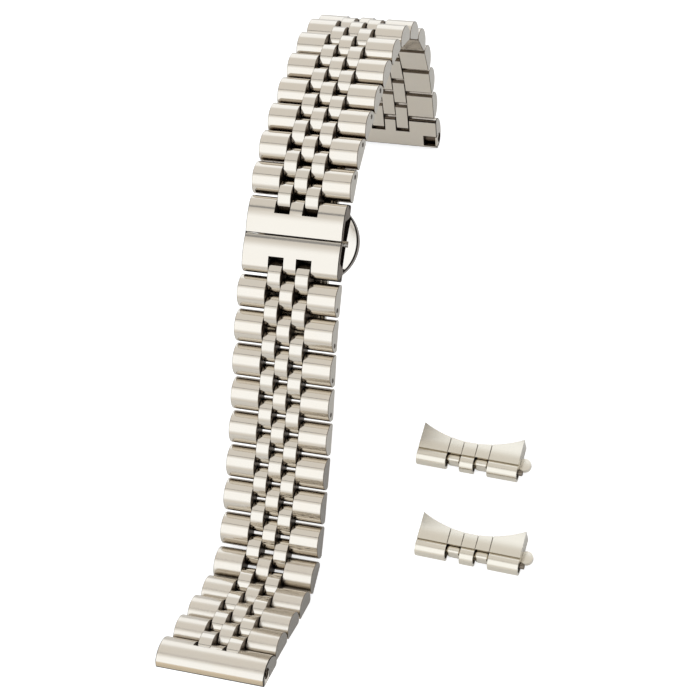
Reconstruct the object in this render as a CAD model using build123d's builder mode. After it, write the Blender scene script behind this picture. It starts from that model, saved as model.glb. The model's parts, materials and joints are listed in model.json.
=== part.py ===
from build123d import *
import os
from math import cos, radians, sin, sqrt

# Link watch bracelet with a folding butterfly clasp, shown arched on a flat surface,
# and the pair of curved end links that comes with it.
# Millimetres. X runs along the hinge pins, Y away from the viewer, Z up from the surface.

# Strand sizes
lug_width = 20.0
clasp_width = 18.4
first_row_width = 18.8
last_row_width = 19.3
row_count = 12
link_length = 5.9
link_height = 3.5
link_side_height = 1.5
link_base_chamfer = 0.35
pin_spacing = 3.225
pin_height = 1.3
pin_radius = 0.55
pin_sides = 6  # the pins are drawn with six sides, as there are fifty of them
pin_clearance = 0.06
pin_grip = 0.8
column_width = 2.55
column_gap = 0.1

# End bar sizes
bar_length = 6.7
spring_bar_radius = 0.95
spring_bar_inset = 1.75
bar_slot_end_gap = 0.3
tool_notch_width = 2.8
tool_notch_length = 2.1

# Clasp sizes
cover_length = 7.0
cover_height = 3.5
cover_seam_height = 3.2
cover_seam_gap = 0.08
cover_wall = 1.0
cover_side_height = 1.4
cover_shoulder = 1.5
bow_radius = 50.0
blade_top_gap = 0.3
blade_thickness = 0.9
blade_half_width = 5.0
base_gap = 0.45
base_thickness = 1.05
base_half_width = 5.8
base_hinge_reach = 16.5
base_hinge_radius = 1.1
cover_hinge_reach = 2.9
cover_hinge_radius = 0.75
knuckle_half_width = 3.1
knuckle_gap = 0.2
ear_width = 1.2
hinge_pin_radius = 0.4
block_half_length = 1.45
block_gap = 0.3
block_height = 2.1
stem_half_width = 0.55
stem_height = 0.9
stem_gap = 0.1
stem_inner = 3.0
stem_lap = 1.0
button_half_length = 5.7
button_inner = 8.2
button_tip = 10.9
button_floor = -2.65
button_height = 1.2
button_bite = 0.1
recess_depth = 2.0
recess_height = 2.5
recess_half_length = 3.7
recess_foot_spread = 1.1

# Curved end link sizes
end_link_width = 19.4
end_link_depth = 5.2
end_link_roll = 2.6
end_link_height = 3.4
end_link_edge_height = 3.2
end_link_wall = 0.9
case_radius = 20.0
groove_width = 0.16
groove_depth = 0.2
roll_drop = 0.35
roll_flat = 0.7
ear_radius = 1.25
ear_reach = 0.75
ear_neck = 1.4
ear_floor = 0.6
ear_thickness = 0.8
ear_place_share = 0.8
end_link_bore_inset = 1.35
end_link_bore_height = 1.45
end_link_places = ((32.7, -17.3), (36.7, -35.6))
end_link_turn = -2.3

# Cut overrun
over = 1.0

# How each strand lies: degrees that each row turns from the one before it, outwards positive,
# from the clasp to the end bar
lower_turns = (-6, -5, -4, 1, 3, 3, -1, 4, 29, 36, 4, -3, -1)
upper_turns = (-10, -12, -10, -1, -1, -11, -16, -18, -23, -17, -9, -7, -5)
stand_tilt = 28.55


# Places along the strand

link_inset = (link_length - pin_spacing) / 2
mid_centre = column_width + column_gap
outer_inner_edge = 1.5 * column_width + 2 * column_gap
stand_centre = {"x": 0.0, "y": 0.0, "z": 0.0}


def stand_point(along, out, across=0.0):
    # From the clasp's own frame (down the lower strand, outwards) to the frame of the surface
    tilt = radians(stand_tilt)
    back = along * cos(tilt) + out * sin(tilt)
    up = out * cos(tilt) - along * sin(tilt)
    return Vector(across - stand_centre["x"], -back - stand_centre["y"], up - stand_centre["z"])


def strand_plane(side, place, heading):
    # local x away from the clasp, local y out of the bracelet; side is 1 below, -1 above
    turn = radians(heading)
    start = stand_point(0, 0)
    away = stand_point(side * cos(turn), sin(turn)) - start
    out = stand_point(-side * sin(turn), cos(turn)) - start
    return Plane(origin=stand_point(*place), x_dir=away, z_dir=away.cross(out))


def strand_places(side, turns):
    # (first pin, heading) of each mid pair and each row in turn, from the clasp outwards
    along = side * (cover_length - link_inset)
    out = pin_height
    heading = 0
    places = []
    for turn in turns:
        for half_turn in (turn / 2, turn / 2):
            heading = heading + half_turn
            places.append(((along, out), heading))
            along = along + side * pin_spacing * cos(radians(heading))
            out = out + pin_spacing * sin(radians(heading))
    return places


def link_corners(plane, length):
    # Corners of a link's inner face, and the top of its dome
    low = -pin_height
    right = length - link_inset
    outline = (
        (-link_inset, low + link_base_chamfer),
        (link_base_chamfer - link_inset, low),
        (right - link_base_chamfer, low),
        (right, low + link_base_chamfer),
        (length / 2 - link_inset, link_height - pin_height),
    )
    return [plane.from_local_coords((x, y, 0)) for x, y in outline]


strands = (
    ("lower", 1, strand_places(1, lower_turns)),
    ("upper", -1, strand_places(-1, upper_turns)),
)
corners = []
for _, side, places in strands:
    for place, heading in places[:-1]:
        corners += link_corners(strand_plane(side, place, heading), link_length)
    bar_place, bar_heading = places[-1]
    corners += link_corners(strand_plane(side, bar_place, bar_heading), bar_length)
right_end = end_link_places[1][0] + end_link_width / 2 + ear_reach + ear_radius
stand_centre = {
    "x": (right_end - button_tip) / 2,
    "y": (min(c.Y for c in corners) + max(c.Y for c in corners)) / 2,
    "z": min(c.Z for c in corners),
}


# Sections


def link_section(length, bores):
    # D section, flat inside and domed outside, from its first pin; bores are round the pins
    low = -pin_height
    left = -link_inset
    right = left + length
    with BuildSketch() as section:
        with BuildLine():
            Polyline(
                (left, low + link_side_height),
                (left, low + link_base_chamfer),
                (left + link_base_chamfer, low),
                (right - link_base_chamfer, low),
                (right, low + link_base_chamfer),
                (right, low + link_side_height),
            )
            ThreePointArc(
                (right, low + link_side_height),
                ((left + right) / 2, low + link_height),
                (left, low + link_side_height),
            )
        make_face()
        if bores:
            with Locations(*bores):
                RegularPolygon(
                    pin_radius + pin_clearance,
                    pin_sides,
                    major_radius=False,
                    mode=Mode.SUBTRACT,
                )
    return section.sketch


def bow_point(drop, reach):
    # A point of the clasp's bow: drop below its outer arc, reach from its middle
    radius = bow_radius - drop
    return (reach, sqrt(radius * radius - reach * reach) - bow_radius)


def bow_section(drop, thickness, first_reach, last_reach):
    # A strip of the bow between two reaches
    middle_reach = (first_reach + last_reach) / 2
    with BuildSketch() as section:
        with BuildLine():
            ThreePointArc(
                bow_point(drop, first_reach),
                bow_point(drop, middle_reach),
                bow_point(drop, last_reach),
            )
            Line(bow_point(drop, last_reach), bow_point(drop + thickness, last_reach))
            ThreePointArc(
                bow_point(drop + thickness, last_reach),
                bow_point(drop + thickness, middle_reach),
                bow_point(drop + thickness, first_reach),
            )
            Line(bow_point(drop + thickness, first_reach), bow_point(drop, first_reach))
        make_face()
    return section.sketch


# Links of the strands


def make_row(label, plane, width):
    # Two outer links and a centre link on two pins, all one body
    outer_width = width / 2 - outer_inner_edge
    outer_centre = outer_inner_edge + outer_width / 2
    section = link_section(link_length, ())
    with BuildPart() as row:
        for centre, breadth in (
            (-outer_centre, outer_width),
            (0, column_width),
            (outer_centre, outer_width),
        ):
            with BuildSketch(plane.offset(centre)):
                add(section)
            extrude(amount=breadth / 2, both=True)
        with BuildSketch(plane):
            with Locations((0, 0), (pin_spacing, 0)):
                RegularPolygon(pin_radius, pin_sides)
        extrude(amount=outer_inner_edge + pin_grip, both=True)
    row.part.label = label
    export_step(row.part, f"parts/{label}.step")
    return row.part


def make_mids(label, plane):
    # The pair of mid links that joins two rows, bored for a pin of each
    section = link_section(link_length, ((0, 0), (pin_spacing, 0)))
    with BuildPart() as mids:
        for centre in (-mid_centre, mid_centre):
            with BuildSketch(plane.offset(centre)):
                add(section)
            extrude(amount=column_width / 2, both=True)
    mids.part.label = label
    export_step(mids.part, f"parts/{label}.step")
    return mids.part


def make_end_bar(label, plane):
    # Straight end bar between the lugs: two slots take the last mid links, and a bore takes
    # the spring bar, with a notch at each end to reach it
    bore_place = bar_length - link_inset - spring_bar_inset
    slot_end = 2 * link_inset + bar_slot_end_gap - link_inset
    with BuildPart() as bar:
        with BuildSketch(plane):
            add(link_section(bar_length, ()))
            with Locations((bore_place, spring_bar_inset - pin_height)):
                Circle(spring_bar_radius, mode=Mode.SUBTRACT)
        extrude(amount=lug_width / 2, both=True)
        for centre in (-mid_centre, mid_centre):
            with BuildSketch(plane.offset(centre)):
                with Locations((slot_end, 0)):
                    Rectangle(
                        2 * link_inset + over,
                        2 * link_height,
                        align=(Align.MAX, Align.CENTER),
                    )
            extrude(
                amount=column_width / 2 + column_gap, both=True, mode=Mode.SUBTRACT
            )
        for end in (-1, 1):
            with BuildSketch(plane.offset(end * lug_width / 2)):
                with Locations((bore_place, -pin_height)):
                    Rectangle(tool_notch_length, 2 * spring_bar_inset)
            extrude(amount=tool_notch_width, both=True, mode=Mode.SUBTRACT)
        with BuildSketch(plane):
            RegularPolygon(pin_radius, pin_sides)
        extrude(amount=outer_inner_edge + pin_grip, both=True)
    bar.part.label = label
    export_step(bar.part, f"parts/{label}.step")
    return bar.part


# Clasp


def clasp_plane(side, across=0.0):
    # local x from the seam to one strand, local y outwards
    plane = strand_plane(side, (0, 0), 0)
    return plane.offset(across)


stem_floor = button_floor + button_height - button_bite
hinge_drop = blade_top_gap + blade_thickness + base_gap / 2
base_hinge_place = bow_point(hinge_drop, base_hinge_reach)
cover_hinge_place = bow_point(blade_top_gap + blade_thickness / 2, cover_hinge_reach)


def make_cover(label, side):
    # Domed cover: slots and a pin for the first mid links, room inside for the button block,
    # a finger recess in each flank above the buttons, and two ears below for the blade
    half_width = clasp_width / 2
    ceiling = cover_height - cover_wall
    block_room = block_half_length + block_gap
    recess_foot = recess_half_length + recess_foot_spread
    pin_place = cover_length - link_inset
    slot_start = pin_place - link_inset - bar_slot_end_gap
    ear_centre = knuckle_half_width + knuckle_gap + ear_width / 2
    plane = clasp_plane(side)
    with BuildPart() as cover:
        with BuildSketch(plane):
            with BuildLine():
                Polyline(
                    (cover_length, cover_side_height),
                    (cover_length, link_base_chamfer),
                    (cover_length - link_base_chamfer, 0),
                    (cover_seam_gap, 0),
                    (cover_seam_gap, cover_seam_height),
                )
                ThreePointArc(
                    (cover_seam_gap, cover_seam_height),
                    (cover_length / 2, cover_height),
                    (cover_length - cover_shoulder, cover_seam_height),
                )
                TangentArc(
                    (cover_length, cover_side_height),
                    (cover_length - cover_shoulder, cover_seam_height),
                    tangent=(0, 1),
                )
            make_face()
        extrude(amount=half_width, both=True)
        with BuildSketch(plane):
            Rectangle(2 * block_room, 2 * ceiling)
        extrude(amount=half_width + over, both=True, mode=Mode.SUBTRACT)
        for end in (-1, 1):
            with BuildSketch(plane.offset(end * half_width)):
                with BuildLine():
                    Polyline(
                        (-recess_foot, 0),
                        (-recess_half_length, recess_height),
                        (recess_half_length, recess_height),
                        (recess_foot, 0),
                        close=True,
                    )
                make_face()
            extrude(amount=recess_depth, both=True, mode=Mode.SUBTRACT)
        for centre in (-mid_centre, mid_centre):
            with BuildSketch(plane.offset(centre)):
                with Locations((slot_start, 0)):
                    Rectangle(
                        cover_length, 2 * (cover_height + over), align=(Align.MIN, Align.CENTER)
                    )
            extrude(
                amount=column_width / 2 + column_gap, both=True, mode=Mode.SUBTRACT
            )
        with BuildSketch(plane):
            with Locations((pin_place, pin_height)):
                RegularPolygon(pin_radius, pin_sides)
        extrude(amount=outer_inner_edge + pin_grip, both=True)
        for end in (-1, 1):
            with BuildSketch(plane.offset(end * ear_centre)):
                with Locations(cover_hinge_place):
                    Circle(cover_hinge_radius)
                    Rectangle(
                        2 * cover_hinge_radius,
                        -cover_hinge_place[1] + link_base_chamfer,
                        align=(Align.CENTER, Align.MIN),
                    )
            extrude(amount=ear_width / 2, both=True)
        with BuildSketch(plane):
            with Locations(cover_hinge_place):
                RegularPolygon(hinge_pin_radius, pin_sides)
        extrude(amount=ear_centre, both=True)
    cover.part.label = label
    export_step(cover.part, f"parts/{label}.step")
    return cover.part


def make_blade(label, side):
    # Folding blade between the base's end and the cover, a bored knuckle at each end
    body_start = cover_hinge_reach + cover_hinge_radius + knuckle_gap
    body_end = base_hinge_reach - base_hinge_radius - knuckle_gap
    plane = clasp_plane(side)
    with BuildPart() as blade:
        with BuildSketch(plane):
            add(bow_section(blade_top_gap, blade_thickness, cover_hinge_reach, base_hinge_reach))
            with Locations(cover_hinge_place):
                Circle(cover_hinge_radius)
            with Locations(base_hinge_place):
                Circle(base_hinge_radius)
            with Locations(cover_hinge_place, base_hinge_place):
                RegularPolygon(
                    hinge_pin_radius + pin_clearance,
                    pin_sides,
                    major_radius=False,
                    mode=Mode.SUBTRACT,
                )
        extrude(amount=knuckle_half_width, both=True)
        with BuildSketch(plane):
            add(bow_section(blade_top_gap, blade_thickness, body_start, body_end))
        extrude(amount=blade_half_width, both=True)
    blade.part.label = label
    export_step(blade.part, f"parts/{label}.step")
    return blade.part


def make_base(label):
    # Bowed base plate: a fork and pin for a blade at each end, and the block that holds
    # the two buttons in the middle
    drop = blade_top_gap + blade_thickness + base_gap
    plate_end = base_hinge_reach - base_hinge_radius - knuckle_gap
    fork_inner = knuckle_half_width + knuckle_gap
    fork_centre = (fork_inner + base_half_width) / 2
    block_base = bow_point(drop + base_thickness / 2, 0)[1]
    with BuildPart() as base:
        for side in (-1, 1):
            plane = clasp_plane(side)
            with BuildSketch(plane):
                add(bow_section(drop, base_thickness, 0, plate_end))
            extrude(amount=base_half_width, both=True)
            for end in (-1, 1):
                with BuildSketch(plane.offset(end * fork_centre)):
                    add(bow_section(drop, base_thickness, plate_end / 2, base_hinge_reach))
                    with Locations(base_hinge_place):
                        Circle(base_hinge_radius)
                extrude(amount=(base_half_width - fork_inner) / 2, both=True)
            with BuildSketch(plane):
                with Locations(base_hinge_place):
                    RegularPolygon(hinge_pin_radius, pin_sides)
            extrude(amount=fork_centre, both=True)
        with BuildSketch(clasp_plane(1)):
            with Locations((0, block_base)):
                Rectangle(
                    2 * block_half_length,
                    block_height - block_base,
                    align=(Align.CENTER, Align.MIN),
                )
            with Locations((0, stem_floor - stem_gap)):
                Rectangle(
                    2 * (stem_half_width + stem_gap),
                    stem_height + 2 * stem_gap,
                    align=(Align.CENTER, Align.MIN),
                    mode=Mode.SUBTRACT,
                )
        extrude(amount=base_half_width, both=True)
    base.part.label = label
    export_step(base.part, f"parts/{label}.step")
    return base.part


def make_pusher(label, end):
    # Half-moon button beside the base, hung on a stem that slides through the block
    out = stand_point(0, 1) - stand_point(0, 0)
    button_plane = Plane(
        origin=stand_point(0, button_floor), x_dir=(1, 0, 0), z_dir=out
    )
    stem_plane = Plane(origin=stand_point(0, stem_floor), x_dir=(1, 0, 0), z_dir=out)
    inner = end * button_inner
    with BuildPart() as pusher:
        with BuildSketch(button_plane):
            with BuildLine():
                ThreePointArc(
                    (inner, -button_half_length),
                    (end * button_tip, 0),
                    (inner, button_half_length),
                )
                Line((inner, button_half_length), (inner, -button_half_length))
            make_face()
        extrude(amount=button_height)
        with BuildSketch(stem_plane):
            with Locations((end * (stem_inner + button_inner + stem_lap) / 2, 0)):
                Rectangle(button_inner + stem_lap - stem_inner, 2 * stem_half_width)
        extrude(amount=stem_height)
    pusher.part.label = label
    export_step(pusher.part, f"parts/{label}.step")
    return pusher.part


# Curved end links


def end_link_plane(place, across=0.0):
    # local x from the case side to the strand side, local y up
    turn = radians(end_link_turn)
    towards = Vector(sin(turn), -cos(turn), 0)
    x, y = place
    origin = Vector(x - stand_centre["x"], y - stand_centre["y"], 0)
    return Plane(origin=origin, x_dir=towards, z_dir=towards.cross(Vector(0, 0, 1))).offset(across)


def make_end_link(plane):
    # Hollow shell with a concave case side, four grooves that carry on the columns, a rolled
    # front in three pieces with two gaps for mid links, and a round ear at its right side
    half_width = end_link_width / 2
    roll_end = end_link_depth + end_link_roll
    roll_top = end_link_edge_height - roll_drop
    outer_width = half_width - outer_inner_edge
    case_centre = -sqrt(case_radius * case_radius - half_width * half_width)
    ear_place = ear_place_share * end_link_depth
    top = Plane(origin=plane.origin, x_dir=plane.x_dir, z_dir=(0, 0, 1))
    with BuildPart() as link:
        with BuildSketch(plane):
            with BuildLine():
                Polyline(
                    (0, 0),
                    (0, end_link_height),
                    (end_link_depth, end_link_edge_height),
                    (end_link_depth, 0),
                    close=True,
                )
            make_face()
        extrude(amount=half_width, both=True)
        with BuildSketch(plane):
            Rectangle(
                2 * (end_link_depth - end_link_wall),
                2 * (end_link_edge_height - end_link_wall),
            )
        extrude(amount=half_width - end_link_wall, both=True, mode=Mode.SUBTRACT)
        for centre, breadth in (
            (-(outer_inner_edge + half_width) / 2, outer_width),
            (0, column_width),
            ((outer_inner_edge + half_width) / 2, outer_width),
        ):
            with BuildSketch(plane.offset(centre)):
                with BuildLine():
                    Polyline(
                        (end_link_depth, roll_top),
                        (end_link_depth, 0),
                        (roll_end - roll_flat, 0),
                    )
                    ThreePointArc(
                        (roll_end - roll_flat, 0),
                        (roll_end, end_link_bore_height),
                        (end_link_depth, roll_top),
                    )
                make_face()
            extrude(amount=breadth / 2, both=True)
        with BuildSketch(plane):
            with Locations((roll_end - end_link_bore_inset, end_link_bore_height)):
                Circle(spring_bar_radius)
        extrude(amount=half_width + over, both=True, mode=Mode.SUBTRACT)
        for line in (-1.5, -0.5, 0.5, 1.5):
            with BuildSketch(plane.offset(line * mid_centre)):
                with Locations((0, end_link_edge_height - groove_depth)):
                    Rectangle(end_link_depth, end_link_height, align=(Align.MIN, Align.MIN))
            extrude(amount=groove_width / 2, both=True, mode=Mode.SUBTRACT)
        with BuildSketch(top):
            with Locations((case_centre, 0)):
                Circle(case_radius)
        extrude(amount=end_link_height + over, mode=Mode.SUBTRACT)
        with BuildSketch(top.offset(ear_floor)):
            with Locations((ear_place, half_width + ear_reach)):
                Circle(ear_radius)
            with Locations((ear_place, half_width + (ear_reach - end_link_wall) / 2)):
                Rectangle(ear_neck, ear_reach + end_link_wall)
        extrude(amount=ear_thickness)
    return link.part


def make_end_links(label):
    # The pair, side by side on the surface
    with BuildPart() as links:
        for place in end_link_places:
            add(make_end_link(end_link_plane(place)))
    links.part.label = label
    export_step(links.part, f"parts/{label}.step")
    return links.part


# Build and write every piece

os.makedirs("parts", exist_ok=True)
make_base("clasp_base")
for name, side, places in strands:
    make_blade(f"{name}_blade", side)
    make_cover(f"{name}_cover", side)
    for number, (place, heading) in enumerate(places):
        plane = strand_plane(side, place, heading)
        row_number = number // 2 + 1
        if number % 2 == 0:
            make_mids(f"{name}_mids_{number // 2:02d}", plane)
        elif row_number <= row_count:
            growth = (last_row_width - first_row_width) * row_number / row_count
            make_row(f"{name}_row_{row_number:02d}", plane, first_row_width + growth)
        else:
            make_end_bar(f"{name}_end_bar", plane)
make_pusher("left_pusher", -1)
make_pusher("right_pusher", 1)
make_end_links("curved_end_links")
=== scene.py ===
import json
import math

import bmesh
import bpy
from mathutils import Matrix, Vector


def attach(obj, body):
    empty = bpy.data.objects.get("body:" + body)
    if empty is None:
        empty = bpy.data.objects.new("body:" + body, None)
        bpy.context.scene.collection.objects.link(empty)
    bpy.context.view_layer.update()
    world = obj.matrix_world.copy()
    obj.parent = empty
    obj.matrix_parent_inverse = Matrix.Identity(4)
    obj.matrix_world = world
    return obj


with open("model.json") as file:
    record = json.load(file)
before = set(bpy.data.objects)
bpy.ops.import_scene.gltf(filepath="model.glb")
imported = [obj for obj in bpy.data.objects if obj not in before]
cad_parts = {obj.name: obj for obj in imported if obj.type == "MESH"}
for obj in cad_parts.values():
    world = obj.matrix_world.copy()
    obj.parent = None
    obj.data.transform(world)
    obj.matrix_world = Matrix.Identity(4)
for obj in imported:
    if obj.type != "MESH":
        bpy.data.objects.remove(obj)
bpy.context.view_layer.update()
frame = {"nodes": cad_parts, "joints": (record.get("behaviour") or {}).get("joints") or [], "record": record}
mm = 0.001
print("frame loaded:", len(frame["nodes"]), "pieces")


# Small helpers


def toLinear(hexColour):
    # sRGB hex to the linear colour that a shader wants
    parts = [int(hexColour[i:i + 2], 16) / 255 for i in (1, 3, 5)]
    linear = [p / 12.92 if p <= 0.04045 else ((p + 0.055) / 1.055) ** 2.4 for p in parts]
    return (*linear, 1.0)


def addNode(tree, kind, settings=None, links=None):
    node = tree.nodes.new(kind)
    for key, value in (settings or {}).items():
        if isinstance(key, str) and hasattr(node, key):
            setattr(node, key, value)
        else:
            node.inputs[key].default_value = value
    for key, socket in (links or {}).items():
        tree.links.new(socket, node.inputs[key])
    return node


def newTree(name):
    material = bpy.data.materials.new(name)
    material.use_nodes = True
    material.node_tree.nodes.clear()
    return material, material.node_tree


def meshObject(name, bm):
    mesh = bpy.data.meshes.new(name)
    bm.to_mesh(mesh)
    bm.free()
    piece = bpy.data.objects.new(name, mesh)
    bpy.context.scene.collection.objects.link(piece)
    return piece


# Camera, as the photograph was taken: high, from the right and with the frame turned

cameraSet = {
    "lens": 88.11,
    "sensor": 36.0,
    "azimuth": 30.96,
    "elevation": 57.5,
    "roll": -19.47,
    "distance": 310.0,
    "aim": (-6.877, -6.12, 25.733),
    "nearClip": 10.0,
}


def makeCamera():
    azimuth = math.radians(cameraSet["azimuth"])
    elevation = math.radians(cameraSet["elevation"])
    roll = math.radians(cameraSet["roll"])
    back = Vector((
        math.sin(azimuth) * math.cos(elevation),
        -math.cos(azimuth) * math.cos(elevation),
        math.sin(elevation),
    ))
    level = Vector((math.cos(azimuth), math.sin(azimuth), 0))
    right = level * math.cos(roll) + back.cross(level) * math.sin(roll)
    up = back.cross(right)
    data = bpy.data.cameras.new("photoCamera")
    data.lens = cameraSet["lens"]
    data.sensor_width = cameraSet["sensor"]
    data.clip_start = cameraSet["nearClip"] * mm
    camera = bpy.data.objects.new("photoCamera", data)
    bpy.context.scene.collection.objects.link(camera)
    turn = Matrix((right, up, back)).transposed().to_4x4()
    spot = (Vector(cameraSet["aim"]) + back * cameraSet["distance"]) * mm
    camera.matrix_world = Matrix.Translation(spot) @ turn
    bpy.context.scene.camera = camera


makeCamera()
print("camera made")


# Studio: white surroundings, a pale floor, two long softboxes and a thin flag between them

studioSet = {
    "worldLight": 0.62,
    "floorColour": "#DDDCDA",
    "floorLift": 0.62,
    "mirrorLift": 0.2,
    "floorSize": 4000.0,
    "floorDrop": 0.06,
    "boxRadius": 520.0,
    "flagRadius": 499.2,
    "boxHalfLength": 620.0,
    "boxHeight": 25.0,
    "boxSteps": 24,
    "boxColour": "#F1F7FF",
}

# Each softbox is an arc round the X axis: start and end in degrees from straight up, towards
# the viewer, with its strength and the share of it over which it fades at either end
softBoxes = {
    "frontSoftbox": {"arc": (6, 84), "strength": 1.72, "fade": (0.22, 0.28)},
    "backSoftbox": {"arc": (-104, -42), "strength": 1.64, "fade": (0.25, 0.3)},
    "topFlag": {"arc": (0.5, 4.5), "strength": 0.34, "fade": (0.2, 0.2)},
}


def backgroundRay(tree, mirrorShare=1.0):
    # 1 for what the camera sees directly, mirrorShare for what it sees in metal or through glass
    path = addNode(tree, "ShaderNodeLightPath")
    mirrored = addNode(
        tree, "ShaderNodeMath", {"operation": "MAXIMUM"}, {0: path.outputs["Is Glossy Ray"]}
    )
    tree.links.new(path.outputs["Is Transmission Ray"], mirrored.inputs[1])
    share = addNode(
        tree, "ShaderNodeMath", {"operation": "MULTIPLY", 1: mirrorShare}, {0: mirrored.outputs[0]}
    )
    both = addNode(
        tree, "ShaderNodeMath", {"operation": "MAXIMUM"}, {0: path.outputs["Is Camera Ray"]}
    )
    tree.links.new(share.outputs[0], both.inputs[1])
    return both.outputs[0]


def makeWorld():
    world = bpy.data.worlds.new("studioWorld")
    world.use_nodes = True
    tree = world.node_tree
    tree.nodes.clear()
    dim = addNode(
        tree, "ShaderNodeBackground", {"Color": (1, 1, 1, 1), "Strength": studioSet["worldLight"]}
    )
    white = addNode(tree, "ShaderNodeBackground", {"Color": (1, 1, 1, 1), "Strength": 1.0})
    mix = addNode(tree, "ShaderNodeMixShader", None, {0: backgroundRay(tree)})
    tree.links.new(dim.outputs[0], mix.inputs[1])
    tree.links.new(white.outputs[0], mix.inputs[2])
    addNode(tree, "ShaderNodeOutputWorld", None, {"Surface": mix.outputs[0]})
    bpy.context.scene.world = world


def makeFloor():
    bm = bmesh.new()
    bmesh.ops.create_grid(bm, x_segments=1, y_segments=1, size=studioSet["floorSize"] * mm / 2)
    floor = meshObject("studioFloor", bm)
    floor.location.z = -studioSet["floorDrop"] * mm
    material, tree = newTree("matt white floor")
    paint = addNode(tree, "ShaderNodeBsdfDiffuse", {"Color": toLinear(studioSet["floorColour"])})
    lift = addNode(
        tree, "ShaderNodeEmission", {"Color": (1, 1, 1, 1), "Strength": studioSet["floorLift"]}
    )
    lifted = addNode(tree, "ShaderNodeAddShader")
    tree.links.new(paint.outputs[0], lifted.inputs[0])
    tree.links.new(lift.outputs[0], lifted.inputs[1])
    mirrorShare = studioSet["mirrorLift"] / studioSet["floorLift"]
    mix = addNode(tree, "ShaderNodeMixShader", None, {0: backgroundRay(tree, mirrorShare)})
    tree.links.new(paint.outputs[0], mix.inputs[1])
    tree.links.new(lifted.outputs[0], mix.inputs[2])
    addNode(tree, "ShaderNodeOutputMaterial", None, {"Surface": mix.outputs[0]})
    floor.data.materials.append(material)


def makeSoftBox(name, settings):
    # A long curved panel; its UVs run 0 to 1 along the arc, for the fade at its edges
    start, end = (math.radians(a) for a in settings["arc"])
    radius = studioSet["flagRadius" if name == "topFlag" else "boxRadius"] * mm
    half = studioSet["boxHalfLength"] * mm
    steps = studioSet["boxSteps"]
    bm = bmesh.new()
    uvLayer = bm.loops.layers.uv.new("arc")
    rings = []
    for step in range(steps + 1):
        angle = start + (end - start) * step / steps
        y = -radius * math.sin(angle)
        z = radius * math.cos(angle) + studioSet["boxHeight"] * mm
        rings.append([bm.verts.new((x, y, z)) for x in (-half, half)])
    for step in range(steps):
        a, b = rings[step], rings[step + 1]
        face = bm.faces.new((a[0], a[1], b[1], b[0]))
        for loop, along in zip(face.loops, (step, step, step + 1, step + 1)):
            loop[uvLayer].uv = (along / steps, 0.5)
    panel = meshObject(name, bm)
    panel.visible_camera = False
    panel.visible_shadow = False
    material, tree = newTree(name + " cloth")
    place = addNode(tree, "ShaderNodeUVMap", {"uv_map": "arc"})
    split = addNode(tree, "ShaderNodeSeparateXYZ", None, {0: place.outputs[0]})
    ramp = addNode(tree, "ShaderNodeValToRGB", None, {0: split.outputs[0]})
    ramp.color_ramp.interpolation = "EASE"
    ramp.color_ramp.elements[0].position = 0.0
    ramp.color_ramp.elements[1].position = 1.0
    edge = (0, 0, 0, 1)
    full = (1, 1, 1, 1)
    ramp.color_ramp.elements[0].color = edge
    ramp.color_ramp.elements[1].color = edge
    for position in (settings["fade"][0], 1 - settings["fade"][1]):
        ramp.color_ramp.elements.new(position).color = full
    clear = addNode(tree, "ShaderNodeBsdfTransparent")
    glowing = {"Color": toLinear(studioSet["boxColour"]), "Strength": settings["strength"]}
    glow = addNode(tree, "ShaderNodeEmission", glowing)
    mix = addNode(tree, "ShaderNodeMixShader", None, {0: ramp.outputs[0]})
    tree.links.new(clear.outputs[0], mix.inputs[1])
    tree.links.new(glow.outputs[0], mix.inputs[2])
    addNode(tree, "ShaderNodeOutputMaterial", None, {"Surface": mix.outputs[0]})
    panel.data.materials.append(material)


makeWorld()
makeFloor()
for boxName, boxSettings in softBoxes.items():
    makeSoftBox(boxName, boxSettings)
print("studio made")


# Steels; each one's shade, shadeReach and shadeRange set the painted shade in its hollows

# 316L stainless steel, polished and then lightly brushed across the strand: soft bright bands
# that keep their edges, with a warm nickel tint
linkSteel = {
    "colour": "#CEC7BB",
    "tint": "#D0C6B7",
    "shade": "#7E7264",
    "shadeReach": 1.2,
    "shadeRange": (0.2, 0.7),
    "roughness": (0.08, 0.13),
    "brushWidth": 0.22,
    "brushLength": 7.0,
    "brushDepth": 0.05,
    "tintSize": 3.5,
}
# The same steel rubbed softer towards the lower end of the strand: the bands run into each other, and its
# painted shade is darker
softLinkSteel = {**linkSteel, "shade": "#6A5F52", "roughness": (0.19, 0.25)}
# The same steel straight off the mop: mid links, clearer reflections
midSteel = {
    "colour": "#CFC8BC",
    "tint": "#CEC5B7",
    "shade": "#7E7264",
    "shadeReach": 1.2,
    "shadeRange": (0.2, 0.7),
    "roughness": (0.06, 0.1),
    "brushWidth": 0.22,
    "brushLength": 6.0,
    "brushDepth": 0.03,
    "tintSize": 3.0,
}
# Satin stainless steel of the folding clasp: even, a little greyer
claspSteel = {
    "colour": "#C9C3B8",
    "tint": "#CAC2B5",
    "shade": "#3E362D",
    "shadeReach": 2.0,
    "shadeRange": (0.2, 0.7),
    "roughness": (0.2, 0.26),
    "brushWidth": 0.3,
    "brushLength": 6.0,
    "brushDepth": 0.03,
    "tintSize": 5.0,
}
# Polished covers of the clasp: wide calm reflections without brush lines
coverSteel = {
    "colour": "#CEC6B9",
    "tint": "#CEC5B7",
    "shade": "#5E554A",
    "shadeReach": 1.2,
    "shadeRange": (0.2, 0.65),
    "roughness": (0.08, 0.11),
    "brushWidth": 0.3,
    "brushLength": 8.0,
    "brushDepth": 0.0,
    "tintSize": 5.0,
}
# The insides of seams and open holes, which no light reaches: nearly black
gapSteel = {
    "colour": "#4A4239",
    "tint": "#453D35",
    "shade": "#352E28",
    "shadeReach": 0.6,
    "shadeRange": (0.1, 0.6),
    "roughness": (0.5, 0.6),
    "brushWidth": 0.4,
    "brushLength": 4.0,
    "brushDepth": 0.0,
    "tintSize": 2.0,
}
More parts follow.
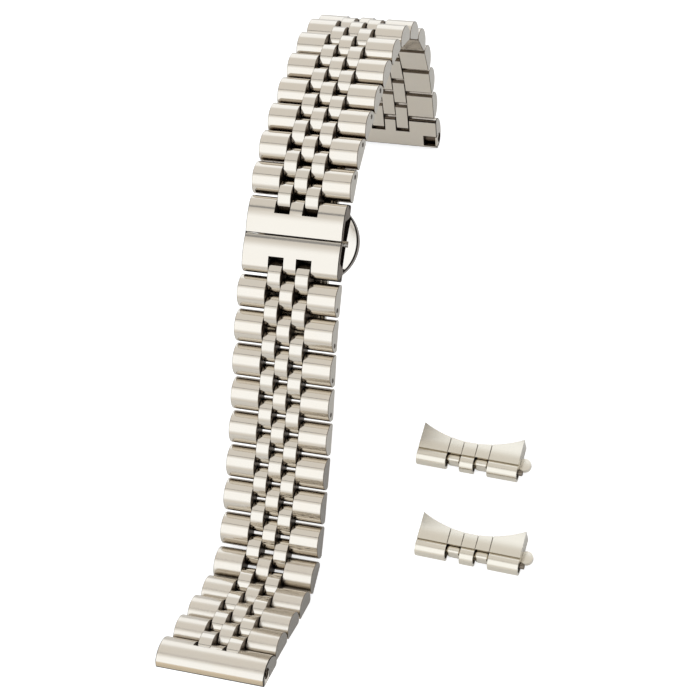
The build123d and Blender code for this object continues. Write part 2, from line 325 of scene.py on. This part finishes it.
# Painted shade along sharp edges of covers, end bars, end links and buttons: a thin black
# line
seamSteel = {
    "colour": "#2A2520",
    "tint": "#25201C",
    "shade": "#1B1815",
    "shadeReach": 0.6,
    "shadeRange": (0.1, 0.6),
    "roughness": (0.5, 0.6),
    "brushWidth": 0.4,
    "brushLength": 4.0,
    "brushDepth": 0.0,
    "tintSize": 2.0,
}
# End faces, lightly satined, in a flat mid grey: painted shade, for the shaded floor they mirror
faceSteel = {
    "colour": "#B3ADA2",
    "tint": "#AEA79C",
    "shade": "#8A8378",
    "shadeReach": 0.8,
    "shadeRange": (0.1, 0.6),
    "roughness": (0.2, 0.26),
    "brushWidth": 0.3,
    "brushLength": 4.0,
    "brushDepth": 0.02,
    "tintSize": 3.0,
}
# The same faces towards the lower end of the strand, a little rougher: dark grey, a darker painted shade
darkFaceSteel = {
    "colour": "#817A70",
    "tint": "#787167",
    "shade": "#5C544A",
    "shadeReach": 0.8,
    "shadeRange": (0.1, 0.6),
    "roughness": (0.26, 0.32),
    "brushWidth": 0.3,
    "brushLength": 4.0,
    "brushDepth": 0.02,
    "tintSize": 3.0,
}
# Fronts of the lower end bar and of the rows next to it: a warmer, golden strip below the dome, a
# painted warm reflection of the links beside them
warmSteel = {
    "colour": "#C6B69D",
    "tint": "#C0AF95",
    "shade": "#8A7A64",
    "shadeReach": 0.8,
    "shadeRange": (0.1, 0.6),
    "roughness": (0.16, 0.22),
    "brushWidth": 0.3,
    "brushLength": 6.0,
    "brushDepth": 0.02,
    "tintSize": 3.0,
}
# Cream steel of the end links, satined evenly: broad soft gradients; the crown bends the plate's
# shading from its rolled front towards the case
endLinkSteel = {
    "colour": "#CFC8B9",
    "tint": "#D1C8B8",
    "shade": "#8A7F70",
    "shadeReach": 0.8,
    "shadeRange": (0.05, 0.45),
    "roughness": (0.2, 0.22),
    "brushWidth": 0.4,
    "brushLength": 8.0,
    "brushDepth": 0.0,
    "tintSize": 6.0,
    "crown": {"pitch": 18.3, "start": -12.9, "slant": 0.04, "roll": 6.0, "radius": 9.0},
}
# Polished steel of the two push buttons: plain and bright
pusherSteel = {
    "colour": "#D3CCC1",
    "tint": "#D0C9BD",
    "shade": "#D3CCC1",
    "shadeReach": 0.5,
    "shadeRange": (0.0, 0.1),
    "roughness": (0.14, 0.18),
    "brushWidth": 0.4,
    "brushLength": 6.0,
    "brushDepth": 0.0,
    "tintSize": 4.0,
}
# Flanks that face another link, and other faces turned away from the light: dull, and painted dark
# brown as the shade they lie in
flankSteel = {
    "colour": "#6C6053",
    "tint": "#5F5448",
    "shade": "#3C342B",
    "shadeReach": 1.2,
    "shadeRange": (0.1, 0.6),
    "roughness": (0.32, 0.4),
    "brushWidth": 0.3,
    "brushLength": 4.0,
    "brushDepth": 0.02,
    "tintSize": 2.0,
}
# Eased edges: a thin darker line round every link, a painted dark reflection
edgeSteel = {
    "colour": "#7A7064",
    "tint": "#70665A",
    "shade": "#40372D",
    "shadeReach": 0.8,
    "shadeRange": (0.2, 0.8),
    "roughness": (0.2, 0.26),
    "brushWidth": 0.3,
    "brushLength": 4.0,
    "brushDepth": 0.0,
    "tintSize": 2.0,
}


def crownNormal(tree, place, crown):
    # The plate of each end link falls away towards the case; the two lie a pitch apart
    axes = addNode(tree, "ShaderNodeSeparateXYZ", None, {0: place})
    value = axes.outputs["X"]
    steps = (
        ("MULTIPLY_ADD", {1: crown["slant"]}),
        ("MULTIPLY_ADD", {1: 1 / mm, 2: crown["roll"] - crown["start"]}),
        ("FLOORED_MODULO", {1: crown["pitch"]}),
        ("SUBTRACT", {1: crown["roll"]}),
        ("MAXIMUM", {1: 0.0}),
        ("POWER", {1: 2.0}),
        ("MULTIPLY", {1: -1 / (2 * crown["radius"])}),
    )
    for number, (operation, numbers) in enumerate(steps):
        step = addNode(tree, "ShaderNodeMath", {"operation": operation, **numbers}, {0: value})
        if number == 0:
            tree.links.new(axes.outputs["Y"], step.inputs[2])
        value = step.outputs[0]
    bent = addNode(tree, "ShaderNodeBump", {"Strength": 1.0, "Distance": mm}, {"Height": value})
    return bent.outputs[0]


# Brush lines, cloudy tint and the samples of the painted shade that all the steels share. Real brush
# lines lie about 0.05 mm apart; the widths above are drawn coarser, so that they show
grainSet = {
    "detail": 3.0,
    "roughness": 0.6,
    "spread": (0.3, 0.7),
    "height": 0.01,
    "patchDetail": 2.0,
    "shadeSamples": 6,
}


def steelMaterial(name, steel):
    material, tree = newTree(name)
    place = addNode(tree, "ShaderNodeTexCoord")
    stretch = (
        1 / (steel["brushLength"] * mm),
        1 / (steel["brushWidth"] * mm),
        1 / (steel["brushWidth"] * mm),
    )
    brush = addNode(
        tree, "ShaderNodeMapping", {"Scale": stretch}, {"Vector": place.outputs["Object"]}
    )
    lines = addNode(
        tree,
        "ShaderNodeTexNoise",
        {"Scale": 1.0, "Detail": grainSet["detail"], "Roughness": grainSet["roughness"]},
        {"Vector": brush.outputs[0]},
    )
    patches = addNode(
        tree,
        "ShaderNodeTexNoise",
        {"Scale": 1 / (steel["tintSize"] * mm), "Detail": grainSet["patchDetail"]},
        {"Vector": place.outputs["Object"]},
    )
    colour = addNode(
        tree, "ShaderNodeMix", {"data_type": "RGBA"}, {"Factor": patches.outputs["Fac"]}
    )
    colour.inputs["A"].default_value = toLinear(steel["colour"])
    colour.inputs["B"].default_value = toLinear(steel["tint"])
    # Painted shade: the colour darkens towards the shade colour where other surfaces lie within shadeReach,
    # in hollows and between parts
    around = addNode(
        tree,
        "ShaderNodeAmbientOcclusion",
        {"samples": grainSet["shadeSamples"], "Distance": steel["shadeReach"] * mm},
    )
    low, high = steel["shadeRange"]
    lit = addNode(
        tree,
        "ShaderNodeMapRange",
        {"From Min": low, "From Max": high, "interpolation_type": "SMOOTHSTEP"},
        {"Value": around.outputs["AO"]},
    )
    shaded = addNode(
        tree, "ShaderNodeMix", {"data_type": "RGBA"}, {"Factor": lit.outputs["Result"]}
    )
    shaded.inputs["A"].default_value = toLinear(steel["shade"])
    tree.links.new(colour.outputs["Result"], shaded.inputs["B"])
    start, end = grainSet["spread"]
    low, high = steel["roughness"]
    gloss = addNode(
        tree,
        "ShaderNodeMapRange",
        {"From Min": start, "From Max": end, "To Min": low, "To Max": high},
        {"Value": lines.outputs["Fac"]},
    )
    bump = addNode(
        tree,
        "ShaderNodeBump",
        {"Strength": steel["brushDepth"], "Distance": grainSet["height"] * mm},
        {"Height": lines.outputs["Fac"]},
    )
    if "crown" in steel:
        crowned = crownNormal(tree, place.outputs["Object"], steel["crown"])
        tree.links.new(crowned, bump.inputs["Normal"])
    metal = addNode(
        tree,
        "ShaderNodeBsdfPrincipled",
        {"Metallic": 1.0},
        {"Roughness": gloss.outputs[0], "Normal": bump.outputs[0]},
    )
    tree.links.new(shaded.outputs["Result"], metal.inputs["Base Color"])
    addNode(tree, "ShaderNodeOutputMaterial", None, {"Surface": metal.outputs[0]})
    return material


steels = {
    "link": steelMaterial("brushed 316L steel, links", linkSteel),
    "softLink": steelMaterial("soft brushed 316L steel, lowest links", softLinkSteel),
    "mid": steelMaterial("polished 316L steel, mid links", midSteel),
    "clasp": steelMaterial("satin 316L steel, clasp", claspSteel),
    "endLink": steelMaterial("brushed 316L steel, end links", endLinkSteel),
    "pusher": steelMaterial("polished 316L steel, buttons", pusherSteel),
    "cover": steelMaterial("polished 316L steel, covers", coverSteel),
    "gap": steelMaterial("dark steel inside seams and holes", gapSteel),
    "flank": steelMaterial("dull 316L steel, flanks in painted shade", flankSteel),
    "edge": steelMaterial("316L steel, edges with painted dark reflection", edgeSteel),
    "seam": steelMaterial("painted black shade line on 316L steel", seamSteel),
    "face": steelMaterial("satined 316L steel, end faces", faceSteel),
    "darkFace": steelMaterial("coarse satined 316L steel, end faces", darkFaceSteel),
    "warm": steelMaterial("316L steel, front of the end bar in painted warm reflection", warmSteel),
}


# Finish of the CAD pieces: eased edges, smooth domes and steels with painted shade

edgeSet = {
    "row": 0.1,
    "mids": 0.1,
    "cover": 0.1,
    "bar": 0.14,
    "endLinks": 0.13,
    "pusher": 0.12,
    "inner": 0.08,
    "segments": 2,
    "angle": 30.0,
    "barAngle": 42.0,
    "weld": 0.002,
    "slottedWeld": 0.02,
}
# Where each finish and painted shade starts; the last five compare a face's normal with a direction,
# from 0 for across it to 1 for along it
finishSet = {
    "flankInset": 0.3,
    "buttonTop": -1.3,
    "darkFaceFrom": 6,
    "warmFrom": 9,
    "sideways": 0.9,
    "square": 0.97,
    "slanted": 0.6,
    "along": 0.3,
    "level": 0.95,
}
# How the shut clasp lies, and how the strands are laid out: the rows in each, and where an end
# bar's bore sits from its pin
chainSet = {
    "claspTilt": 28.55,
    "claspSpot": (9.6145, 36.269),
    "rowsPerStrand": 12,
    "boreRise": 0.45,
    "boreReach": 3.6125,
}
# Material slots of every CAD piece
slots = {"steel": 0, "flank": 1, "edge": 2, "gap": 3, "seam": 4, "face": 5, "warm": 6}


def pieceKind(name):
    if "_row_" in name:
        return "row", "link"
    if "_mids_" in name:
        return "mids", "mid"
    if name.endswith("_cover"):
        return "cover", "cover"
    if name.endswith("_end_bar"):
        return "bar", "link"
    if name == "curved_end_links":
        return "endLinks", "endLink"
    if name.endswith("_pusher"):
        return "pusher", "pusher"
    return "inner", "clasp"


def isLow(name, firstRow):
    # Whether a link of the lower strand lies at this row or beyond it, towards the end bar
    strand, row, number = name.partition("_row_")
    return name == "lower_end_bar" or (row != "" and strand == "lower" and int(number) >= firstRow)


def faceSlot(kind, name, low, polygon, halfWidth):
    # The finish and painted shade of one face, by where it lies and looks
    normal = polygon.normal
    found = "steel"
    outermost = abs(polygon.center.x - middleX) > halfWidth - finishSet["flankInset"] * mm
    if abs(normal.x) > finishSet["sideways"]:
        if kind in ("row", "bar"):
            found = "face" if outermost else "flank"
        elif kind == "mids":
            found = "flank"
        elif kind == "cover":
            found = "flank" if outermost else "gap"
    if kind == "cover" and abs(normal.dot(claspAlong)) > finishSet["square"]:
        found = "gap"
    if kind == "pusher":
        level = (polygon.center / mm).dot(claspOut) - claspLevel
        # The button's faces below its top, in the recess under the cover, take the black painted shade; its
        # sides take the edge steel's painted dark line
        if normal.dot(claspOut) > finishSet["sideways"] and level < finishSet["buttonTop"]:
            found = "seam"
        if abs(normal.dot(claspOut)) < finishSet["along"]:
            found = "edge"
    if name in outDirections:
        away, out = (normal.dot(direction) for direction in outDirections[name])
        along, slanted = finishSet["along"], finishSet["slanted"]
        # Faces turned down and sideways take the flank steel's painted shade
        if -finishSet["level"] < out < -along and abs(away) > along:
            found = "flank"
        if low and away > finishSet["square"]:
            found = "warm"
        # The chamfers under the lowest links take the black painted shade line
        if low and away > slanted and out < -slanted:
            found = "seam"
    return slots[found]


def finishNode(name, node):
    kind, steel = pieceKind(name)
    mesh = node.data
    if "custom_normal" in mesh.attributes:
        mesh.attributes.remove(mesh.attributes["custom_normal"])
    mesh.materials.clear()
    faceFinish = "darkFace" if isLow(name, finishSet["darkFaceFrom"]) else "face"
    low = isLow(name, finishSet["warmFrom"])
    if low:
        steel = "softLink"
    for part in (steel, "flank", "edge", "gap", "seam", faceFinish, "warm"):
        mesh.materials.append(steels[part])
    halfWidth = max(abs(vertex.co.x - middleX) for vertex in mesh.vertices)
    for polygon in mesh.polygons:
        polygon.use_smooth = True
        polygon.material_index = faceSlot(kind, name, low, polygon, halfWidth)
    slotted = kind in ("cover", "bar")
    outlined = slotted or kind in ("pusher", "endLinks")
    weld = node.modifiers.new("joinFacets", "WELD")
    weld.merge_threshold = edgeSet["slottedWeld" if slotted else "weld"] * mm
    bevel = node.modifiers.new("easedEdges", "BEVEL")
    bevel.width = edgeSet[kind] * mm
    bevel.segments = edgeSet["segments"]
    bevel.limit_method = "ANGLE"
    bevel.angle_limit = math.radians(edgeSet["barAngle" if kind == "bar" else "angle"])
    bevel.harden_normals = True
    # Bevels take a painted dark line: the black shade line on outlined pieces, the edge steel's dark
    # reflection elsewhere
    bevel.material = slots["seam" if outlined else "edge"]
    bevel.use_clamp_overlap = not slotted  # slivers beside the slots would stop it there


tilt = math.radians(chainSet["claspTilt"])
claspAlong = Vector((0, -math.cos(tilt), -math.sin(tilt)))
claspOut = Vector((0, -math.sin(tilt), math.cos(tilt)))
claspLevel = Vector((0, *chainSet["claspSpot"])).dot(claspOut)
jointPlaces = {
    joint["child"]: Vector(joint["pos_m"]) for joint in frame["joints"] if "pos_m" in joint
}
mountPlaces = {mount["name"]: mount for mount in frame["record"]["mounts"]}


def strandDirections():
    # (away from the clasp, outwards) of every link, from its pin to the next one
    found = {}
    for strand, side in (("lower", 1), ("upper", -1)):
        names = [f"{strand}_mids_00"]
        for number in range(1, chainSet["rowsPerStrand"] + 1):
            names += [f"{strand}_row_{number:02d}", f"{strand}_mids_{number:02d}"]
        names.append(f"{strand}_end_bar")
        for name, following in zip(names, names[1:] + [None]):
            if following:
                away = (jointPlaces[following] - jointPlaces[name]).normalized()
            else:
                bore = Vector(mountPlaces[f"{name}_bore"]["pos_m"])
                lean = math.atan2(chainSet["boreRise"], chainSet["boreReach"]) * side
                towardsBore = (bore - jointPlaces[name]).normalized()
                away = Matrix.Rotation(lean, 3, "X") @ towardsBore
            found[name] = (away, Vector((0, side * away.z, -side * away.y)))
    return found


outDirections = strandDirections()
coverX = [vertex.co.x for vertex in frame["nodes"]["lower_cover"].data.vertices]
middleX = (min(coverX) + max(coverX)) / 2
claspMiddle = Vector((middleX / mm, *chainSet["claspSpot"]))
for nodeName, nodeObject in frame["nodes"].items():
    finishNode(nodeName, nodeObject)
print("steel and edges on the CAD pieces")


# Small pieces that ride on the links, the end bars, the buttons and the end links


def turnedPart(bm, centre, end, profile, darkFrom):
    # Turns a profile of (radius, distance along X) round the X axis and closes its last ring;
    # its second material starts at ring darkFrom
    sides = 20
    rings = []
    for radius, lift in profile:
        ring = []
        for step in range(sides):
            angle = 2 * math.pi * step / sides
            spot = Vector((end * lift, radius * math.cos(angle), radius * math.sin(angle)))
            ring.append(bm.verts.new(centre + spot * mm))
        rings.append(ring)
    for number, (a, b) in enumerate(zip(rings, rings[1:])):
        for step in range(sides):
            after = (step + 1) % sides
            corners = (a[step], a[after], b[after], b[step])
            face = bm.faces.new(corners[::-1] if end > 0 else corners)
            face.material_index = 1 if number >= darkFrom else 0
    last = bm.faces.new(rings[-1] if end > 0 else rings[-1][::-1])
    last.material_index = 1


def easedBlock(bm, centre, axes, size, ease):
    # A small block along three axes, with rounded edges
    turn = Matrix(axes).transposed().to_4x4()
    shape = Matrix.Diagonal((*(length * mm for length in size), 1))
    bmesh.ops.create_cube(bm, size=1.0, matrix=Matrix.Translation(centre) @ turn @ shape)
    bmesh.ops.bevel(
        bm, geom=bm.edges[:], offset=ease * mm, segments=3, profile=0.5, affect="EDGES"
    )


def ridingPiece(name, bm, body, materials):
    piece = meshObject(name, bm)
    for material in materials:
        piece.data.materials.append(steels[material])
    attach(piece, body)
    return piece


# Only the links next to the clasp can be taken out, so only they show pin holes
pinHole = {"lip": 0.47, "hole": 0.38, "proud": 0.035, "floor": 0.012, "raise": 0.4, "lastRow": 4}


def makePinHoles(strand, number):
    # The open pin holes in both end faces of a row, with a painted dark lip and painted black shade inside
    body = f"{strand}_row_{number:02d}"
    secondPin = jointPlaces[f"{strand}_mids_{number:02d}"]
    away, out = outDirections[body]
    rowX = [vertex.co.x for vertex in frame["nodes"][body].data.vertices]
    profile = (
        (pinHole["lip"], 0.0),
        (pinHole["lip"], pinHole["proud"]),
        (pinHole["hole"], pinHole["proud"]),
        (pinHole["hole"], pinHole["floor"]),
    )
    bm = bmesh.new()
    for end, face in ((-1, min(rowX)), (1, max(rowX))):
        centre = secondPin + out * pinHole["raise"] * mm
        centre.x = face
        turnedPart(bm, centre, end, profile, 2)
    ridingPiece(f"{body}_pin_holes", bm, body, ("edge", "gap"))


springTube = {"outer": 0.92, "inner": 0.7, "start": 7.25, "end": 9.7, "depth": 0.5}


def makeSpringTubes(strand):
    # The tube that takes the spring bar, seen in the notch at each end of the end bar, in dark painted shade
    body = f"{strand}_end_bar"
    profile = (
        (springTube["outer"], springTube["start"]),
        (springTube["outer"], springTube["end"]),
        (springTube["inner"], springTube["end"]),
        (springTube["inner"], springTube["end"] - springTube["depth"]),
    )
    bm = bmesh.new()
    for end in (-1, 1):
        turnedPart(bm, Vector(mountPlaces[f"{body}_bore"]["pos_m"]), end, profile, 2)
    ridingPiece(f"{body}_tubes", bm, body, ("flank", "gap"))


notchEnd = {
    "half": 1.04,
    "drop": 1.74,
    "hole": 0.93,
    "outside": 9.98,
    "thick": 0.32,
    "steps": 12,
}


def makeNotchEnds(strand):
    # The thin wall that closes each notch of the end bar at the bar's end, round the bore
    body = f"{strand}_end_bar"
    half, drop, steps = notchEnd["half"], notchEnd["drop"], notchEnd["steps"]
    centre = Vector(mountPlaces[f"{body}_bore"]["pos_m"])
    away, out = outDirections[body]
    corner = math.atan2(drop, half)
    arc = [math.pi * step / steps for step in range(steps + 1)]
    angles = sorted(arc + [corner, math.pi - corner])
    tiny = 1e-6  # keeps the two divisions finite
    bm = bmesh.new()
    for end in (-1, 1):
        rings = []
        for depth in (notchEnd["outside"], notchEnd["outside"] - notchEnd["thick"]):
            inner, outer = [], []
            for angle in angles:
                side, down = math.cos(angle), math.sin(angle)
                reach = min(half / max(abs(side), tiny), drop / max(down, tiny))
                for ring, radius in ((inner, notchEnd["hole"]), (outer, reach)):
                    spot = centre + (away * side * radius - out * down * radius) * mm
                    spot.x = centre.x + end * depth * mm
                    ring.append(bm.verts.new(spot))
            rings.append((inner, outer))
        (frontIn, frontOut), (backIn, backOut) = rings
        sheets = ((frontIn, frontOut), (backOut, backIn), (frontOut, backOut), (backIn, frontIn))
        for a, b in sheets:
            for step in range(len(angles) - 1):
                bm.faces.new((a[step], a[step + 1], b[step + 1], b[step]))
    bmesh.ops.recalc_face_normals(bm, faces=bm.faces[:])
    ridingPiece(f"{body}_notch_ends", bm, body, ("link",))


lens = {
    "inner": 8.85,
    "slant": 0.04,
    "arcCentre": 3.533,
    "arcRadius": 7.367,
    "inset": 0.3,
    "halfLength": 4.5,
    "base": -1.46,
    "rise": 0.6,
    "fall": 0.5,
    "sink": 0.05,
    "across": 6,
    "along": 28,
}


def makeLens(name, end):
    # The crowned top of a push button, highest next to the cover
    bm = bmesh.new()
    rows = []
    for step in range(lens["along"] + 1):
        place = lens["halfLength"] * (2 * step / lens["along"] - 1)
        rim = lens["arcCentre"] + math.sqrt(lens["arcRadius"] ** 2 - place ** 2) - lens["inset"]
        inner = lens["inner"] - lens["slant"] * place
        edge = 1 - lens["fall"] * (place / lens["halfLength"]) ** 2
        row = []
        for column in range(lens["across"] + 1):
            share = column / lens["across"]
            reach = inner + share * (rim - inner)
            height = lens["base"] + lens["rise"] * edge * (1 - share)
            spot = claspMiddle + Vector((end * reach, 0, 0))
            row.append(bm.verts.new((spot + claspAlong * place + claspOut * height) * mm))
        rows.append(row)
    for a, b in zip(rows, rows[1:]):
        for column in range(lens["across"]):
            bm.faces.new((a[column], b[column], b[column + 1], a[column + 1]))
    shell = bmesh.ops.extrude_face_region(bm, geom=bm.faces[:])
    sunk = [part for part in shell["geom"] if isinstance(part, bmesh.types.BMVert)]
    for vertex in sunk:
        level = (vertex.co / mm - claspMiddle).dot(claspOut)
        vertex.co += claspOut * (lens["base"] - lens["sink"] - level) * mm
    bmesh.ops.recalc_face_normals(bm, faces=bm.faces[:])
    ridingPiece(f"{name}_lens", bm, name, ("pusher",))


tongue = {"start": 7.05, "end": 8.4, "halfLength": 4.4, "top": -1.5, "thick": 0.4, "ease": 0.08}


def makeTongue(name, end):
    # The button's inner lip, which runs in under the cover and closes the recess from below; it is painted
    # black as the shade in the recess
    centre = claspMiddle + Vector((end * (tongue["start"] + tongue["end"]) / 2, 0, 0))
    centre += claspOut * (tongue["top"] - tongue["thick"] / 2)
    axes = (Vector((1, 0, 0)), claspAlong, claspOut)
    size = (tongue["end"] - tongue["start"], 2 * tongue["halfLength"], tongue["thick"])
    bm = bmesh.new()
    easedBlock(bm, centre * mm, axes, size, tongue["ease"])
    bmesh.ops.recalc_face_normals(bm, faces=bm.faces[:])
    ridingPiece(f"{name}_tongue", bm, name, ("seam",))


seat = {"size": (2.72, 1.5, 2.7), "back": 0.6, "ease": 0.55, "column": 2.65}
knob = {"radius": 0.5, "start": 9.6, "reach": 0.9, "tipRadius": 0.3, "tipReach": 0.99}


def makeSeats(number):
    # The floor of the two gaps for mid links
    mount = mountPlaces[f"curved_end_link_bore_{number}"]
    middle = Vector(mount["pos_m"])
    across = Vector(mount["axis"]).normalized()
    towards = Vector((across.y, -across.x, 0))
    axes = (across, towards, Vector((0, 0, 1)))
    bm = bmesh.new()
    for side in (-1, 1):
        centre = middle + (across * side * seat["column"] - towards * seat["back"]) * mm
        centre.z = seat["size"][2] / 2 * mm
        block = bmesh.new()
        easedBlock(block, centre, axes, seat["size"], seat["ease"])
        part = bpy.data.meshes.new("seatBlock")
        block.to_mesh(part)
        block.free()
        bm.from_mesh(part)
        bpy.data.meshes.remove(part)
    body = "curved_end_links"
    piece = ridingPiece(f"curved_end_link_seats_{number}", bm, body, ("endLink",))
    for polygon in piece.data.polygons:
        polygon.use_smooth = True


def makeSpringBarEnd(number):
    # The end of the spring bar, which stands out beside the ear, with a painted dark rim and painted shade
    # at its tip
    middle = Vector(mountPlaces[f"curved_end_link_bore_{number}"]["pos_m"])
    profile = (
        (knob["radius"], knob["start"]),
        (knob["radius"], knob["start"] + knob["reach"]),
        (knob["tipRadius"], knob["start"] + knob["tipReach"]),
    )
    bm = bmesh.new()
    turnedPart(bm, middle, 1, profile, 1)
    body = "curved_end_links"
    ridingPiece(f"curved_end_link_spring_bar_{number}", bm, body, ("edge", "flank"))


for strandName in ("lower", "upper"):
    for rowNumber in range(1, pinHole["lastRow"] + 1):
        makePinHoles(strandName, rowNumber)
    makeSpringTubes(strandName)
    makeNotchEnds(strandName)
for pusherName, pusherEnd in (("left_pusher", -1), ("right_pusher", 1)):
    makeLens(pusherName, pusherEnd)
    makeTongue(pusherName, pusherEnd)
for linkNumber in (1, 2):
    makeSeats(linkNumber)
    makeSpringBarEnd(linkNumber)
print("small pieces made")


bpy.context.view_layer.update()
bpy.context.scene.view_settings.view_transform = "Standard"
